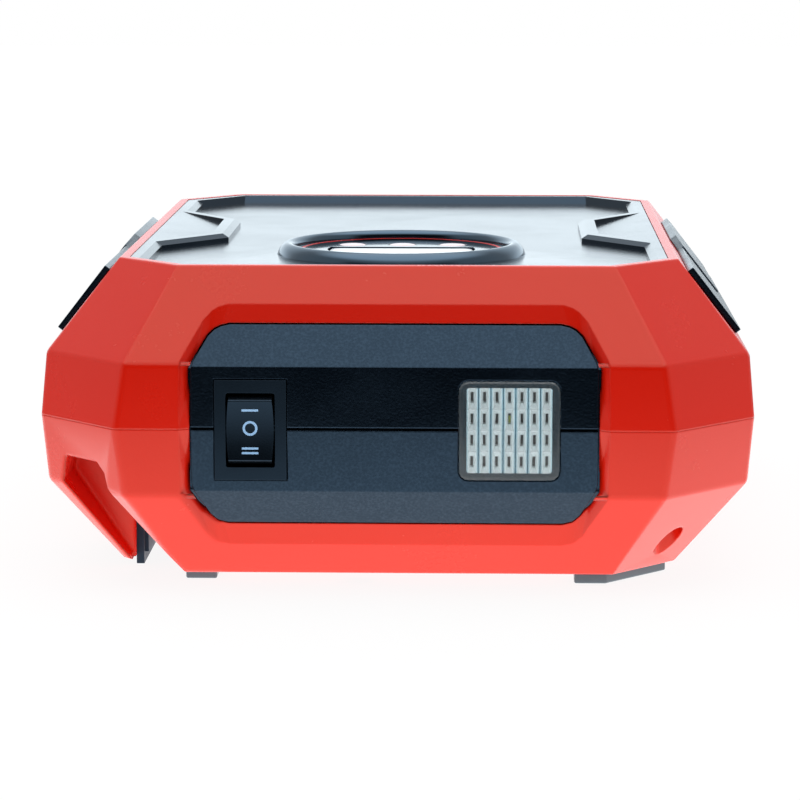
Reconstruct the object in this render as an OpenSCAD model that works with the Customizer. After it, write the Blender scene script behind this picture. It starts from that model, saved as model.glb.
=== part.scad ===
// Jump starter pack: two-part octagonal casing with a switch and lamp at the front (-Y),
// a lead socket in the lower left corner, ports at the rear (+Y) and a round panel on top.
// The feet stand on z = 0 and the casing is centred on the Z axis.

/* [Casing] */
// Half width of the flat top
top_x = 60; // [58:0.5:62]
// Half length of the flat top
top_y = 83; // [81:0.5:85]
// Half width at the two folds
fold_x = 75; // [74:0.5:75.5]
// Half length at the two folds
fold_y = 97.5; // [96.5:0.5:98]
// Half width at the parting line
part_x = 76; // [76:0.5:77]
// Half length at the parting line
part_y = 98.3; // [98.2:0.1:99]
// Height of the underside above the surface it stands on
base_z = 2.4; // [2:0.1:3]
// Height of the lower fold
low_fold_z = 21.8; // [21:0.2:23]
// Height of the parting line
part_z = 36; // [35.5:0.1:36.5]
// Height of the upper fold
high_fold_z = 49.3; // [49:0.1:50.5]
// Height of the flat top
top_z = 68.6; // [68:0.1:69]
// Wall thickness
wall = 2.4; // [2:0.1:2.6]
// Radius of the outer edges at the folds and corners
edge_r = 2.4; // [2:0.1:2.4]
// Radius of the edges round the top and the underside
rim_r = 0.8; // [0.6:0.1:1]
// Radius of the case screw wells
well_r = 3.1; // [3:0.1:3.3]

/* [Front and rear panels] */
// Half width of a panel
panel_x = 42.6; // [42:0.1:43]
// Depth of a panel below the casing surface
panel_in = 1.2; // [1:0.1:1.4]
// Gap round a panel
panel_gap = 0.3; // [0.2:0.05:0.4]

/* [Rocker switch] */
// Centre of the switch across the panel
rocker_x = -29.9; // [-31:0.1:-29]
// Width of the switch flange
flange_w = 15; // [15:0.5:15]
// Height of the switch flange
flange_h = 21; // [21:0.5:21]
// Radius of the rocker's ends about its pivot
rocker_r = 7.65; // [7.4:0.05:7.65]

/* [Lamp] */
// Centre of the lamp across the panel
lamp_x = 23.9; // [23:0.1:25]
// Width of the lamp's clear cover
lamp_w = 21; // [20.5:0.1:21.2]
// Height of the lamp's clear cover
lamp_h = 20.8; // [20.5:0.1:21]
// Cells across the reflector
cells_x = 7; // [5:1:7]
// Cells up the reflector
cells_z = 4; // [3:1:4]

/* [Top panel] */
// Distance of the round panel in front of the middle of the casing
ring_y = -45; // [-47:0.5:-43]
// Inner radius of the ring
ring_in = 23.5; // [23:0.1:24]
// Outer radius of the ring
ring_out = 27.4; // [27:0.1:28]
// Height of the ring's crest
ring_z = 69.8; // [69.4:0.1:70]
// Radius of the start button
button_r = 16; // [15:0.5:16.5]
// Travel of the start button
button_travel = 1; // [0.6:0.1:1]

/* [Lead socket] */
// Bore of the two round contacts
contact_r = 2.5; // [2.5:0.1:2.5]
// Distance between the contacts
contact_pitch = 10.4; // [10:0.1:10.8]

/* [Hidden] */
$fn = 48;

red = [0.86, 0.17, 0.09];
black = [0.08, 0.09, 0.10];
rubber = [0.16, 0.17, 0.18];
board_green = [0.05, 0.28, 0.16];
brass = [0.78, 0.62, 0.28];
steel = [0.68, 0.70, 0.72];
white = [0.93, 0.93, 0.92];

// ---- casing form ----
// Corner cut along Y for each millimetre of cut along X, and what a cut loses per millimetre of inset
cut_ratio = 1.09;
cut_loss = 0.56;
// Half width, half length and corner cut of the casing at any height
half_x = [[base_z, top_x], [low_fold_z, fold_x], [part_z, part_x], [high_fold_z, fold_x], [top_z, top_x]];
half_y = [[base_z, top_y - 1], [low_fold_z, fold_y - 0.5], [part_z, part_y],
          [high_fold_z, fold_y], [top_z, top_y]];
cut_x = [[base_z, 14], [low_fold_z, 18.6], [part_z, 17.8], [high_fold_z, 18.7], [top_z, 14]];
// Horizontal thickness of a slope whose true thickness is 1, how far its fold moves down, and how much
// nearer the parting line the lower panel folds
slope_in = 1.28;
fold_drop = 0.36;
panel_fold = 0.5;
// Angle of the upper side slopes below the horizontal, and their length from top edge to fold
slope_angle = atan2(top_z - high_fold_z, fold_x - top_x);
slope_length = norm([top_z - high_fold_z, fold_x - top_x]);
// Ledge that the top cover lies on, and the thickness of the casing's roof under it
ledge_z = top_z - 4;
deck = 2.2;

// Case screws, one for each place where the two halves are drawn together
screw_places = [[58, -78], [58, 78], [-58, 78], [-8, -78], [66, 10], [-66, 10]];
screw_seat_z = 22;
screw_r = 1.45;

// ---- socket corner ----
// The socket wall lies parallel to the lower slope: it starts here and runs down at this angle
wall_top = [-60.2, 22.5];
wall_angle = 53.13;
socket_wall = 2.2;
rib_y = [-65.5, -63.3];
bay_y = -38.5;
bay_mid_y = (rib_y[1] + bay_y) / 2;
bay_z = 21;
cover_pivot_s = 7.1;
cover_off = 0.6;
mouth_s = [12.8, 21.3];
mouth_depth = 6.5;
mouth_mid = (mouth_s[0] + mouth_s[1]) / 2;
contact_depth = 10;

// ---- front parts ----
front_z = part_z - 0.3;
flange_y = -96.9;
rocker_pivot_y = -93.4;
lamp_back_y = -92.65;
lamp_corner = 2.1;

// ---- rear parts ----
port_w = 50;
port_h = 17;
port_face_y = 96.9;
port_floor_y = 94.7;
port_hinge = [95.9, 29.9];

// Octagon of the casing at height z, drawn in by t
function octagon(z, t) =
    let (a = lookup(z, half_x) - t, b = lookup(z, half_y) - t,
         c = lookup(z, cut_x) - t * cut_loss, d = c * cut_ratio)
    [[a - c, -b], [a, -b + d], [a, b - d], [a - c, b],
     [-a + c, b], [-a, b - d], [-a, -b + d], [-a + c, -b]];

// Solid between stacked rings, lowest first. All have m corners, and corner i lies across from corner
// m - 1 - i, so that strips between the two sides close the ends.
module stacked_rings(rings) {
    n = len(rings);
    m = len(rings[0]);
    sides = [for (k = [0:n - 2]) for (i = [0:m - 1])
        [k * m + i, (k + 1) * m + i, (k + 1) * m + (i + 1) % m, k * m + (i + 1) % m]];
    floor_strips = [for (i = [0:m / 2 - 2]) [i, i + 1, m - 2 - i, m - 1 - i]];
    roof_strips = [for (s = floor_strips) [for (k = [3:-1:0]) (n - 1) * m + s[k]]];
    polyhedron(points = [for (r = rings) for (p = r) p], faces = concat(floor_strips, sides, roof_strips),
               convexity = 4);
}

// Outline of flat points raised to the height z
function at_height(pts, z) = [for (p = pts) [p[0], p[1], z]];

// Solid between octagons, one for each [height, height whose octagon is used, inset]
module octagon_solid(levels) {
    stacked_rings([for (l = levels) at_height(octagon(l[1], l[2]), l[0])]);
}

// Upper and lower casing forms, drawn in by t all over; the lower fold may be raised by s
module upper_form(t) {
    octagon_solid([[part_z, part_z, t], [high_fold_z - fold_drop * t, high_fold_z, t],
                   [top_z - t, top_z - t, slope_in * t]]);
}
module lower_form(t, s = 0) {
    octagon_solid([[base_z + t, base_z + t, slope_in * t], [low_fold_z + fold_drop * t + s, low_fold_z, t],
                   [part_z, part_z, t]]);
}

// Rounded half casing: a ball at each outer corner, for [height, height whose octagon is used, inset,
// radius], and, from z0, a thin disc at each parting corner
module rounded_half(levels, z0) {
    hull() {
        for (l = levels)
            for (p = octagon(l[1], l[2]))
                translate([p[0], p[1], l[0]]) sphere(l[3], $fn = 24);
        for (p = octagon(part_z, edge_r))
            translate([p[0], p[1], z0]) cylinder(h = 0.02, r = edge_r, $fn = 24);
    }
}

// Line of points whose inner corners are each cut off at the distance d
function eased(p, d) = concat([p[0]],
    [for (i = [1:len(p) - 2]) for (q = [p[i - 1], p[i + 1]]) p[i] + d * (q - p[i]) / norm(q - p[i])],
    [p[len(p) - 1]]);

// Outline of a panel half, as [x, height above the parting line], from the middle outwards
function panel_outline(up) = eased(up
    ? [[20, 21.3], [panel_x - 7, 21.3], [panel_x - 3.9, 19.8], [panel_x, 13.2], [panel_x, 0]]
    : [[20, -21.3], [panel_x - 6.4, -21.3], [panel_x - 4.1, -20], [panel_x, -12.6], [panel_x, 0]], 1);
function bevel_outline(up) = eased(up
    ? [[20, 25.1], [panel_x - 6.6, 25.1], [panel_x - 3.4, 23.1], [panel_x + 2, 13.8], [panel_x + 2, 0]]
    : [[20, -26], [panel_x - 6.6, -26], [panel_x - 4, -24.8], [panel_x + 2, -14.2], [panel_x + 2, 0]], 1.2);
function both_sides(pts) =
    concat([for (p = pts) p], [for (i = [len(pts) - 1:-1:0]) [-pts[i][0], pts[i][1]]]);

// Panel half outline run through the front wall
module panel_prism(up, g) {
    translate([0, -80, part_z]) rotate([90, 0, 0]) linear_extrude(30)
        offset(delta = g) polygon(both_sides(panel_outline(up)));
}

// Opening in the casing for one panel half, with its sloping red border
module panel_opening(up) {
    panel_prism(up, 0);
    outer = both_sides(bevel_outline(up));
    inner = both_sides(panel_outline(up));
    hull() {
        for (i = [0:len(outer) - 1])
            let (p = 1.1 * outer[i] - 0.1 * inner[i])
                translate([p[0], -lookup(part_z + p[1], half_y) - 0.12, part_z + p[1]])
                    cube(0.02, center = true);
        for (p = inner)
            translate([p[0], -lookup(part_z + p[1], half_y) + panel_in, part_z + p[1]])
                cube(0.02, center = true);
    }
}

// One panel half: a plug in the opening with a wider flange behind the casing wall
module panel_half(up) {
    difference() {
        intersection() {
            if (up) upper_form(panel_in); else lower_form(panel_in, panel_fold);
            panel_prism(up, -panel_gap);
        }
        if (up) upper_form(panel_in + 3); else lower_form(panel_in + 3);
        translate([-60, -120, part_z - 0.05 + (up ? -40 : 0)]) cube([120, 60, 40.1]);
    }
    intersection() {
        difference() {
            if (up) upper_form(wall + 0.05); else lower_form(wall + 0.05);
            if (up) upper_form(panel_in + 3); else lower_form(panel_in + 3);
        }
        translate([-60, -120, part_z + (up ? 0.05 : -39.95)]) cube([120, 60, 39.9]);
        panel_prism(up, 2);
    }
}

module upper_casing() {
    color(red) difference() {
        union() {
            difference() {
                rounded_half([[high_fold_z - fold_drop * edge_r, high_fold_z, edge_r, edge_r],
                              [top_z - rim_r, top_z - rim_r, slope_in * rim_r, rim_r]], part_z);
                octagon_solid([[part_z - 1, part_z, wall], [high_fold_z - fold_drop * wall, high_fold_z, wall],
                               [ledge_z - deck, ledge_z - deck, slope_in * wall]]);
            }
            intersection() {
                upper_form(0.4);
                for (p = screw_places)
                    translate([p[0], p[1], part_z]) cylinder(h = ledge_z - 1 - part_z, r = 4);
            }
        }
        translate([0, 0, ledge_z]) linear_extrude(6) polygon(octagon(top_z, 2));
        translate([0, 0, ledge_z - 6]) linear_extrude(12) polygon(octagon(top_z, 6.5));
        panel_opening(true);
        mirror([0, 1, 0]) panel_opening(true);
        for (p = screw_places)
            translate([p[0], p[1], part_z - 1]) cylinder(h = 14, r = screw_r + 0.05);
    }
}

// Space in front of the socket rib, open to the corner and downwards
module corner_notch(g) {
    translate([0, rib_y[0] + g, 0]) rotate([90, 0, 0]) linear_extrude(50) offset(delta = g)
        polygon([[-70, 28], [-62.6, 28], [-60.9, 25.8], wall_top, [wall_top[0] + 22.5, wall_top[1] - 30],
                 [-58, -7.5], [-58, base_z], [-71, 22]]);
}

// Space behind the rib, open to the side and downwards
module socket_bay(g) {
    translate([0, bay_y + g, 0]) rotate([90, 0, 0]) linear_extrude(bay_y - rib_y[1] + 2 * g)
        offset(delta = g) polygon([[-95, bay_z], [wall_top[0] + 0.75 * (wall_top[1] - bay_z), bay_z],
                 [wall_top[0] + 22.5, wall_top[1] - 30], [-95, -7.5]]);
}

// Places its children on the socket wall: X runs down the wall and Z runs into the casing
module on_socket_wall(s, y) {
    translate([wall_top[0], y, wall_top[1]]) rotate([0, wall_angle, 0]) translate([s, 0, 0]) children();
}

module lower_casing() {
    color(red) difference() {
        union() {
            difference() {
                rounded_half([[base_z + rim_r, base_z + rim_r, slope_in * rim_r, rim_r],
                              [low_fold_z + fold_drop * edge_r, low_fold_z, edge_r, edge_r]], part_z - 0.02);
                octagon_solid([[base_z + wall, base_z + wall, slope_in * wall],
                               [low_fold_z + fold_drop * wall, low_fold_z, wall], [part_z + 1, part_z, wall]]);
            }
            intersection() {
                lower_form(0.4);
                union() {
                    corner_notch(socket_wall - 0.1);
                    socket_bay(socket_wall);
                    for (p = screw_places)
                        translate([p[0], p[1], 0]) cylinder(h = part_z, r = 4.6);
                }
            }
        }
        corner_notch(0);
        socket_bay(0);
        panel_opening(false);
        mirror([0, 1, 0]) panel_opening(false);
        for (p = screw_places) {
            translate([p[0], p[1], -1]) cylinder(h = screw_seat_z + 1, r = well_r);
            translate([p[0], p[1], screw_seat_z - 1]) cylinder(h = 20, r = screw_r + 0.25);
        }
        // Window in the rib, through which the cover shows, and the lead's way out
        translate([0, rib_y[1] + 0.1, 0]) rotate([90, 0, 0]) linear_extrude(rib_y[1] - rib_y[0] + 0.2)
            polygon([[-57.6, -7.5], [-57.6, 12.5], [wall_top[0] + 0.75 * (wall_top[1] - 12.5), 12.5],
                     [wall_top[0] + 22.5, -7.5]]);
        // Mouth of the socket and the groove that clears the cover's barrel
        on_socket_wall(mouth_s[0], bay_mid_y - 10.8) translate([0, 0, -1])
            cube([mouth_s[1] - mouth_s[0], 21.6, 6]);
        on_socket_wall(cover_pivot_s, bay_y) translate([0, 0, -cover_off]) rotate([90, 0, 0])
            cylinder(h = bay_y - rib_y[1], r = 1.85);
        // Holes for the cover's pin, in the rib and in the rear wall of the bay
        on_socket_wall(cover_pivot_s, bay_y + 2) translate([0, 0, -cover_off]) rotate([90, 0, 0])
            cylinder(h = bay_y - rib_y[0] + 2, r = 0.78);
    }
}

// ---- top ----
cover_z = top_z - 0.1;
floor_z = top_z - 1.9;
// Right half of the sunk floor, from front to back: its foot and the upper edge of its chamfered wall
basin_foot = [[54.3, -95], [54.3, -35.2], [40.7, -17.1], [40.7, 17.9], [54.1, 38.7], [54.1, 64.8],
              [44.3, 77.2]];
basin_edge = [[55.7, -95], [55.7, -34.7], [42.1, -16.7], [42.1, 17.5], [55.5, 38.3], [55.5, 65],
              [44.2, 79.2]];
// Rear walls of the sunk floor, which slope all the way from their foot to their upper edge
rear_foot = [for (i = [5, 6]) basin_foot[i]];
rear_edge = [for (i = [5, 6]) basin_edge[i]];
// Scoop between a pair of arms: it slopes down from the border to the bar that joins the arms
scoop_low = [[44.6, 17.4], [44.6, -14.5]];
scoop_high = [[56.3, -30.5], [56.3, 35.5]];

module scoop() {
    stacked_rings([concat([for (p = scoop_high) [p[0], p[1], cover_z]], [for (p = scoop_low)
        [p[0], p[1], floor_z + 0.6]]), at_height(concat(scoop_high, scoop_low), cover_z + 2)]);
}

// The front of the sunk floor rises in a middle and two side facets, which meet in a crease on each side:
// outline of each facet, and its rise above the floor at a point
crease = [[45.5, -86], [30, -33]];
side_facet = [crease[0], [60, -72], [60, -60], crease[1]];
middle_facet = [[-crease[0][0], crease[0][1]], crease[0], crease[1], [-crease[1][0], crease[1][1]]];
function middle_rise(p) = 0.025 * (crease[1][1] - p[1]);
function side_rise(p) = middle_rise(p) * 1.4328 - 0.037 * (p[0] - crease[1][0]);

module front_facets() {
    low = floor_z - 0.6;
    stacked_rings([at_height(middle_facet, low),
                   [for (p = middle_facet) [p[0], p[1], floor_z - 0.05 + middle_rise(p)]]]);
    for (m = [0, 1])
        mirror([m, 0, 0]) stacked_rings([at_height(side_facet, low),
                                         [for (p = side_facet) [p[0], p[1], floor_z - 0.05 + side_rise(p)]]]);
}

module top_cover() {
    color(black) difference() {
        translate([0, 0, ledge_z]) linear_extrude(cover_z - ledge_z) polygon(octagon(top_z, 2.2));
        difference() {
            union() {
                translate([0, 0, floor_z]) linear_extrude(4) polygon(both_sides(basin_foot));
                stacked_rings([at_height(both_sides(basin_foot), floor_z + 0.9),
                               at_height(both_sides(basin_edge), cover_z),
                               at_height(both_sides(basin_edge), cover_z + 3)]);
            }
            front_facets();
        }
        stacked_rings([at_height(both_sides(rear_foot), floor_z), at_height(both_sides(rear_edge), cover_z),
                       at_height(both_sides(rear_edge), cover_z + 2)]);
        for (m = [0, 1])
            mirror([m, 0, 0]) scoop();
        translate([0, ring_y, floor_z - 0.02]) cylinder(h = 6, r = ring_out + 0.05);
        translate([0, ring_y, ledge_z - 1]) cylinder(h = 6, r = 20);
    }
    // Posts that carry the button board
    color(black) for (x = [-24, 24], y = [-24, 24])
        translate([x, ring_y + y, ledge_z - 2.6]) cylinder(h = 2.7, r = 2);
}

module ring_bezel() {
    z0 = top_z - 1.9;
    color(black) translate([0, ring_y, z0]) rotate_extrude($fn = 96)
        polygon([[ring_in, 0], [ring_out, 0], [ring_out, 0.9], [ring_out - 0.6, 2.1],
                 [ring_out - 1.7, ring_z - z0 - 0.15], [ring_in + 1.5, ring_z - z0],
                 [ring_in + 0.4, ring_z - z0 - 0.35], [ring_in, ring_z - z0 - 1]]);
}

panel_top_z = top_z - 0.5;
lens_places = [for (i = [-1:1]) [11.2 * i, ring_y + 9]];

// Half-moon outline of the start button, grown by g
module button_outline(g) {
    intersection() {
        translate([0, ring_y]) circle(button_r + g);
        translate([-30, ring_y - 30]) square([60, 33.5 + g]);
    }
}

module indicator_panel() {
    color(black) difference() {
        translate([0, ring_y, top_z - 1.88]) cylinder(h = panel_top_z - top_z + 1.88, r = ring_in - 0.1);
        translate([0, 0, top_z - 4]) linear_extrude(8) button_outline(0.3);
        for (p = lens_places)
            translate([p[0], p[1], top_z - 4]) cylinder(h = 8, r = 3.15);
        translate([0, ring_y, panel_top_z - 0.3]) difference() {
            cylinder(h = 1, r = ring_in - 1.1);
            translate([0, 0, -1]) cylinder(h = 3, r = ring_in - 1.9);
        }
    }
}

module accent_ring() {
    color(red) translate([0, ring_y, panel_top_z - 0.3]) difference() {
        cylinder(h = 0.35, r = ring_in - 1.12);
        translate([0, 0, -1]) cylinder(h = 3, r = ring_in - 1.88);
    }
}

module indicator_lenses() {
    color(white) for (p = lens_places) {
        translate([p[0], p[1], top_z - 1.85]) cylinder(h = 1.45, r = 3.1);
        translate([p[0], p[1], top_z - 4.6]) cylinder(h = 2.8, r = 2.2);
    }
}

module start_button() {
    color(white) {
        translate([0, 0, top_z - 2.6]) linear_extrude(2.3) button_outline(0);
        translate([0, 0, top_z - 3.2]) linear_extrude(1.2) button_outline(1.1);
        translate([0, ring_y - 6, top_z - 3.9]) cylinder(h = 1.4, r = 2);
    }
}

board_z = ledge_z - 4.2;

module button_board() {
    color(board_green) difference() {
        translate([-27, ring_y - 27, board_z]) cube([54, 54, 1.6]);
        for (x = [-24, 24], y = [-24, 24])
            translate([x, ring_y + y, board_z - 1]) cylinder(h = 4, r = 1.1);
    }
}

module button_switch() {
    color(steel) translate([-3, ring_y - 9, board_z + 1.6]) cube([6, 6, 1]);
    color(black) translate([0, ring_y - 6, board_z + 2.6]) cylinder(h = 0.6, r = 1.7);
}

module indicator_leds() {
    color(white) for (p = lens_places)
        translate([p[0] - 1.5, p[1] - 1.4, board_z + 1.6]) cube([3, 2.8, 1.2]);
}

// ---- front and rear panels ----
module box_at(x, y, z, w, d, h) {
    translate([x - w / 2, y, z - h / 2]) cube([w, d, h]);
}

// The same with its four corners rounded to the radius r, seen from the front
module round_box_at(x, y, z, w, d, h, r) {
    box_at(x, y, z, w - 2 * r, d, h);
    box_at(x, y, z, w, d, h - 2 * r);
    for (i = [-1, 1], k = [-1, 1])
        translate([x + i * (w / 2 - r), y, z + k * (h / 2 - r)]) rotate([-90, 0, 0]) cylinder(h = d, r = r);
}

module front_cuts() {
    box_at(rocker_x, flange_y - 5, front_z, flange_w + 0.3, 6.85, flange_h + 0.3);
    box_at(rocker_x, -100, front_z, 13.1, 20, 19.1);
    round_box_at(lamp_x, -100, front_z, lamp_w + 0.3, 4.45, lamp_h + 0.3, lamp_corner + 0.15);
    box_at(lamp_x, -100, front_z, 18.3, 20, 18.2);
}

module front_panel_upper() {
    color(black) difference() {
        panel_half(true);
        front_cuts();
    }
}

module front_panel_lower() {
    color(black) difference() {
        panel_half(false);
        front_cuts();
    }
}

module rear_cuts() {
    box_at(0, port_face_y - 1.9, part_z, port_w + 0.3, 8, port_h + 0.3);
    box_at(0, 85, part_z, port_w - 1.8, 20, port_h - 1.8);
}

module rear_panel_upper() {
    color(black) difference() {
        mirror([0, 1, 0]) panel_half(true);
        rear_cuts();
    }
}

module rear_panel_lower() {
    color(black) difference() {
        mirror([0, 1, 0]) panel_half(false);
        rear_cuts();
    }
}

// ---- rocker switch ----
module rocker_housing() {
    color(black) difference() {
        union() {
            box_at(rocker_x, flange_y, front_z, flange_w, 1.8, flange_h);
            box_at(rocker_x, flange_y + 1, front_z, 12.8, 16, 18.8);
        }
        round_box_at(rocker_x, flange_y - 1, front_z, 10.2, 12.4, 15.6, 0.5);
        translate([rocker_x - 6.3, rocker_pivot_y, front_z]) rotate([0, 90, 0]) cylinder(h = 12.6, r = 1.05);
    }
}

module rocker() {
    color(black) {
        intersection() {
            translate([rocker_x - 4.9, rocker_pivot_y, front_z]) rotate([0, 90, 0])
                cylinder(h = 9.8, r = rocker_r);
            difference() {
                box_at(rocker_x, rocker_pivot_y - 5.2, front_z, 9.8, 8.2, 16);
                translate([rocker_x - 6, rocker_pivot_y - 53.9, front_z]) rotate([0, 90, 0])
                    cylinder(h = 12, r = 50, $fn = 200);
            }
        }
        translate([rocker_x - 6.1, rocker_pivot_y, front_z]) rotate([0, 90, 0]) cylinder(h = 12.2, r = 1);
    }
}

module switch_terminals() {
    color(brass) for (i = [-1:1]) difference() {
        box_at(rocker_x, -79.9, front_z + 6.5 * i, 4.8, 8, 0.8);
        translate([rocker_x, -74, front_z + 6.5 * i]) cylinder(h = 3, r = 0.8, center = true);
    }
}

// ---- lamp ----
module lamp_cover() {
    color([0.85, 0.92, 0.95, 0.5]) round_box_at(lamp_x, -97.05, front_z, lamp_w, 1.45, lamp_h, lamp_corner);
}

cell_w = 17.9 / cells_x;
cell_h = 17.8 / cells_z;
function cell_place(i, k) =
    [lamp_x + (i - (cells_x - 1) / 2) * cell_w, front_z + (k - (cells_z - 1) / 2) * cell_h];

// One cell of the reflector: an inverted pyramid that ends in an upright slot
module reflector_cell() {
    rotate([-90, 0, 0]) linear_extrude(2.25, scale = [0.25, 0.5], slices = 1)
        square([cell_w - 0.3, cell_h - 0.35], center = true);
    translate([0, 2, 0]) cube([0.57, 4, 2.05], center = true);
}

module lamp_reflector() {
    color([0.86, 0.87, 0.88]) difference() {
        box_at(lamp_x, -95.55, front_z, 17.9, lamp_back_y + 95.55, 17.8);
        for (i = [0:cells_x - 1], k = [0:cells_z - 1])
            translate([cell_place(i, k)[0], -95.56, cell_place(i, k)[1]]) reflector_cell();
    }
}

module lamp_leds() {
    color([0.95, 0.85, 0.35]) for (i = [0:cells_x - 1], k = [0:cells_z - 1])
        box_at(cell_place(i, k)[0], lamp_back_y - 0.55, cell_place(i, k)[1], 0.5, 0.6, 1.9);
}

module lamp_board() {
    color(board_green) box_at(lamp_x, lamp_back_y + 0.05, front_z, 20, 1.6, 20);
}

module lamp_holder() {
    color(black) difference() {
        box_at(lamp_x, -92.85, front_z, 24, 7, 24);
        box_at(lamp_x, -93, front_z, 20.2, 5, 20.2);
        box_at(lamp_x, -93, front_z, 16, 10, 16);
    }
}

// ---- side grips ----
// Outline on the slope: X runs down from the top edge and Y along the casing
grip_outline = [[20.4, -68], [3.4, -68], [3.4, -27], [1.3, -19], [1.3, 21], [3.4, 27], [20.4, 27]];
pad_outline = [[16.6, -27], [3.4, -27], [1.3, -19], [1.3, 21], [3.4, 27], [16.6, 27]];

module side_grip() {
    translate([top_x, 0, top_z]) rotate([0, slope_angle, 0]) {
        difference() {
            translate([0, 0, 0.02]) linear_extrude(1.4) polygon(grip_outline);
            // Lower edge of the plate is bevelled
            translate([20.4, -80, 0.6]) rotate([0, 40, 0]) cube([5, 120, 5]);
        }
        translate([0, 0, 1.4]) linear_extrude(0.4) polygon(pad_outline);
    }
}

module side_grip_right() {
    color(black) side_grip();
}

module side_grip_left() {
    color(black) mirror([1, 0, 0]) side_grip();
}

// ---- feet ----
module foot(pts) {
    color(rubber) linear_extrude(base_z) polygon(pts);
}
foot_outline = [[38, -80], [44.8, -80], [58.3, -65.4], [53.2, -60.7], [41.8, -73], [38, -73]];

module foot_front_right() {
    foot(foot_outline);
}

module foot_front_left() {
    foot([[-45.5, -77], [-38.8, -77], [-38.8, -70], [-45.5, -70]]);
}

module foot_rear_right() {
    mirror([0, 1, 0]) foot(foot_outline);
}

module foot_rear_left() {
    rotate([0, 0, 180]) foot(foot_outline);
}

module case_screws() {
    color(steel) for (p = screw_places) translate([p[0], p[1], 0]) difference() {
        union() {
            translate([0, 0, screw_seat_z - 2.2]) cylinder(h = 2.2, r = 2.75);
            translate([0, 0, screw_seat_z - 0.1]) cylinder(h = 26, r = screw_r);
        }
        translate([-1.6, -0.35, screw_seat_z - 3.4]) cube([3.2, 0.7, 2.4]);
        translate([-0.35, -1.6, screw_seat_z - 3.4]) cube([0.7, 3.2, 2.4]);
    }
}

// ---- lead socket ----
module socket_housing() {
    color([0.12, 0.2, 0.45]) on_socket_wall(mouth_mid, bay_mid_y) difference() {
        translate([-5.6, -12, socket_wall + 0.05]) cube([11.2, 24, 16]);
        translate([(mouth_s[0] - mouth_s[1]) / 2, -10.8, 0])
            cube([mouth_s[1] - mouth_s[0], 21.6, mouth_depth]);
        for (side = [-1, 1])
            translate([0, side * contact_pitch / 2, 0]) cylinder(h = 30, r = contact_r + 0.6);
    }
}

module socket_contact(side) {
    color(brass) on_socket_wall(mouth_mid, bay_mid_y + side * contact_pitch / 2)
        translate([0, 0, mouth_depth]) difference() {
            union() {
                cylinder(h = contact_depth + 1.5, r = contact_r + 0.6);
                cylinder(h = contact_depth + 5, r = 1.8);
            }
            translate([0, 0, -1]) cylinder(h = contact_depth + 1, r = contact_r);
        }
}

module socket_contact_positive() {
    socket_contact(-1);
}

module socket_contact_negative() {
    socket_contact(1);
}

// The rubber cover hangs from its barrel, with the plug that closes the mouth on its inner side
cover_pivot = [wall_top[0] + 0.6 * cover_pivot_s - 0.8 * cover_off,
               wall_top[1] - 0.8 * cover_pivot_s - 0.6 * cover_off];
module socket_cover() {
    len_y = bay_y - rib_y[1] - 0.6;
    y0 = rib_y[1] + 0.3;
    color(rubber) difference() {
        union() {
            translate([cover_pivot[0], y0, cover_pivot[1]]) rotate([-90, 0, 0]) cylinder(h = len_y, r = 1.6);
            translate([cover_pivot[0] - 1.3, y0, 0.3]) cube([1.7, len_y, cover_pivot[1] - 0.3]);
            translate([cover_pivot[0] + 0.3, bay_mid_y - 10.3, 2.6]) cube([0.9, 20.6, 7.4]);
        }
        translate([cover_pivot[0], y0 - 1, cover_pivot[1]]) rotate([-90, 0, 0])
            cylinder(h = len_y + 2, r = 0.8);
    }
}

module socket_cover_pin() {
    color(steel) translate([cover_pivot[0], rib_y[0] + 0.3, cover_pivot[1]]) rotate([-90, 0, 0])
        cylinder(h = bay_y - rib_y[0] + 1.2, r = 0.75);
}

// ---- rear ports ----
usb_places = [-15, 2];
jack_x = 16;

module port_frame() {
    color(black) difference() {
        union() {
            box_at(0, port_face_y - 1.8, part_z, port_w, 1.8, port_h);
            box_at(0, port_floor_y - 2.5, part_z, port_w - 2, 3, port_h - 2);
        }
        box_at(0, port_floor_y, part_z - 0.45, port_w - 4, 8, 13.9);
        for (x = usb_places)
            box_at(x, 80, part_z, 13.3, 30, 5.9);
        translate([jack_x, 80, part_z]) rotate([-90, 0, 0]) cylinder(h = 30, r = 4.05);
        translate([-port_w / 2 + 1, port_hinge[0], port_hinge[1]]) rotate([0, 90, 0])
            cylinder(h = port_w - 2, r = 0.63);
    }
}

module port_cover() {
    color(rubber) difference() {
        union() {
            translate([-22.7, port_hinge[0], port_hinge[1]]) rotate([0, 90, 0]) cylinder(h = 45.4, r = 1.1);
            translate([-22.7, 95, port_hinge[1]]) cube([45.4, 2, 12.4]);
            translate([-6, 96.5, port_hinge[1] + 10.6]) cube([12, 1, 1.2]);
        }
        translate([-30, port_hinge[0], port_hinge[1]]) rotate([0, 90, 0]) cylinder(h = 60, r = 0.65);
    }
}

module port_cover_pin() {
    color(steel) translate([-port_w / 2 + 1.2, port_hinge[0], port_hinge[1]]) rotate([0, 90, 0])
        cylinder(h = port_w - 2.4, r = 0.6);
}

module usb_sockets() {
    for (x = usb_places) {
        color(steel) difference() {
            box_at(x, 80, part_z, 13.2, 14.6, 5.8);
            box_at(x, 80.6, part_z, 12.5, 20, 5.1);
        }
        color(white) box_at(x, 80.5, part_z + 1, 10.4, 12, 1.9);
    }
}

module charge_socket() {
    color(black) translate([jack_x, 82, part_z]) rotate([-90, 0, 0]) difference() {
        cylinder(h = 12.6, r = 4);
        translate([0, 0, 3]) cylinder(h = 20, r = 2.8);
    }
    color(steel) translate([jack_x, 84.9, part_z]) rotate([-90, 0, 0]) cylinder(h = 8.5, r = 1);
}

module port_board() {
    color(board_green) translate([-23.5, 79.8, part_z - 4.55]) cube([34.5, 12.3, 1.6]);
}

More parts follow.
